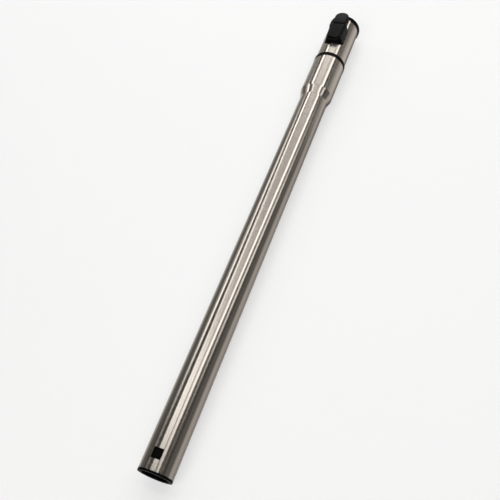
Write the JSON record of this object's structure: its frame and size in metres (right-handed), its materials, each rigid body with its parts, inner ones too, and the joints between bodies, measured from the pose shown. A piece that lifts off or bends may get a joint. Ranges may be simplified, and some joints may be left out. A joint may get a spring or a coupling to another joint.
{
  "type": "telescopic vacuum wand",
  "caption": "Telescopic vacuum cleaner wand, pushed together: brushed steel tubes, black trim, and a latched socket at the handle end.",
  "frame": {"origin": "on the wand's axis at the outer steel's edge at the tool end; the black lip stands 2.3 mm past it", "axes": "+Y along the wand from the tool end to the handle end, +Z towards the latch and the square catch hole, +X to the right of both"},
  "size_m": [0.0416, 0.6303, 0.0485],
  "materials": {
    "outer_steel": "fine brushing round the tube, clear bright reflections",
    "inner_steel": "smooth drawn steel",
    "black_plastic": "fine-grained moulded black plastic",
    "latch_plastic": "fine-grained moulded black plastic",
    "lever_plastic": "satin black plastic",
    "rack_plastic": "smooth grey plastic",
    "guide_plastic": "smooth dark plastic",
    "felt": "dense dark felt",
    "seal_rubber": "soft black rubber",
    "spring_steel": "plain spring steel",
    "roller_steel": "ground bright steel",
    "rivet_metal": "plain aluminium"
  },
  "bodies": {
    "outer": {"outer_tube": "outer_steel", "tool_end_liner": "black_plastic", "guide_bush": "black_plastic", "bush_wiper": "felt", "detent_leaf": "spring_steel", "leaf_rivet": "spring_steel"},
    "detent": {"detent_roller": "roller_steel"},
    "inner": {"inner_tube": "inner_steel", "notch_rack": "rack_plastic", "rack_rivets": "rivet_metal", "end_guide": "guide_plastic", "end_seal": "felt", "socket_sleeve": "outer_steel", "socket_core": "black_plastic", "socket_seal": "seal_rubber", "tube_rivets": "rivet_metal", "latch_housing": "latch_plastic", "latch_pin": "spring_steel", "latch_leaf": "spring_steel"},
    "latch": {"latch_lever": "lever_plastic"}
  },
  "joints": [
    {"name": "telescope", "type": "slide", "parent": "outer", "child": "inner", "axis": [0, 1, 0], "range_m": [0, 0.36]},
    {"name": "detent_travel", "type": "slide", "parent": "outer", "child": "detent", "axis": [0, 0, -1], "range_m": [0, 0.001], "stiffness_N_per_m": 800, "springref_m": -0.001, "deforming": ["detent_leaf"]},
    {"name": "latch_press", "type": "hinge", "parent": "inner", "child": "latch", "pos_m": [0, 0.5999, 0.0223], "axis": [1, 0, 0], "range_deg": [0, 7], "stiffness_Nm_per_rad": 0.3, "springref_deg": -9.74, "deforming": ["latch_leaf"]}
  ]
}
